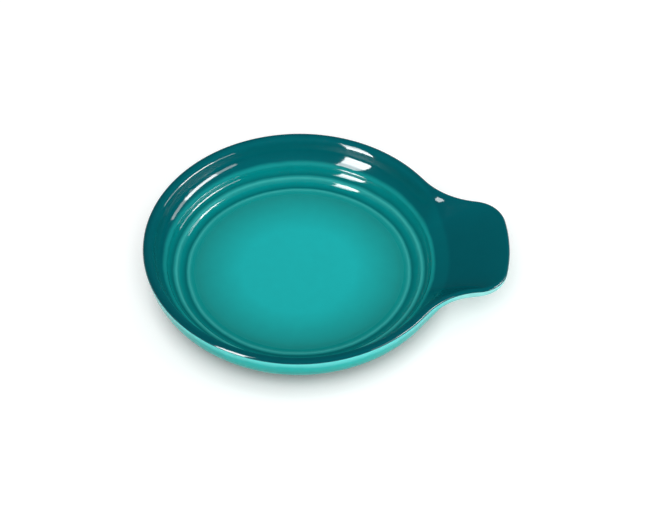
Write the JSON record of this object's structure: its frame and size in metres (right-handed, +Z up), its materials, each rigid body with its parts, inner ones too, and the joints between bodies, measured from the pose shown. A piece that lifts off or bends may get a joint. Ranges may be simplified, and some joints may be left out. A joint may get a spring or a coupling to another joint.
{
  "type": "spoon rest",
  "caption": "Round shallow glazed stoneware dish with ridged well and one scooped tab on its rim, for laying down a cooking spoon.",
  "frame": {"origin": "centre of the foot ring, on the plane it rests on", "axes": "+X along the tab, +Y across the dish, +Z up"},
  "size_m": [0.1553, 0.1322, 0.0248],
  "materials": {
    "stoneware": "fired stoneware, bare and matt on the foot ring",
    "inner_glaze": "glossy teal glaze, light on the floor and dark on the wall",
    "outer_glaze": "glossy turquoise glaze"
  },
  "bodies": {
    "root": {"stoneware_body": "stoneware", "inner_glaze": "inner_glaze", "outer_glaze": "outer_glaze", "base_glaze": "outer_glaze"}
  },
  "joints": []
}
